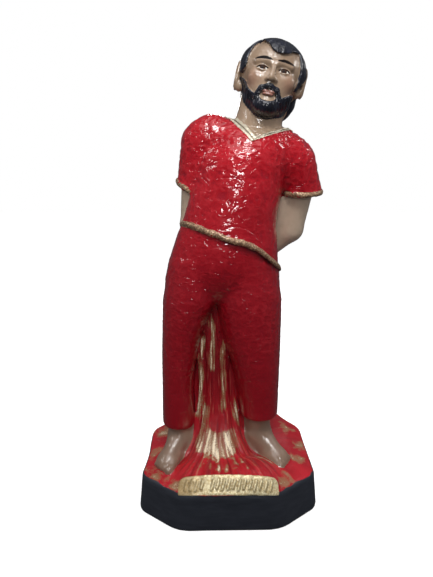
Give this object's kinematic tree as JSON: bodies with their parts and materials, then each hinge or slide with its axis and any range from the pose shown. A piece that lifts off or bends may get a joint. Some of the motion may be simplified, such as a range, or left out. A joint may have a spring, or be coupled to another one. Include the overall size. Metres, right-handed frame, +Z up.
{
  "type": "spirit deity statue",
  "caption": "Painted plaster figure of a bearded barefoot spirit in red tunic and trousers, hands held behind the back, before a ribbed stump on an eight-sided base.",
  "frame": {"origin": "middle of the flat underside of the base", "axes": "+Z up along the height, +X to the right as one faces the figure, +Y from its front to its back"},
  "size_m": [0.122, 0.1018, 0.2991],
  "materials": {
    "painted_plaster": "cast plaster painted red with skin, black and gold areas, under clear gloss varnish"
  },
  "bodies": {
    "root": {"painted_plaster_statue": "painted_plaster"}
  },
  "joints": []
}
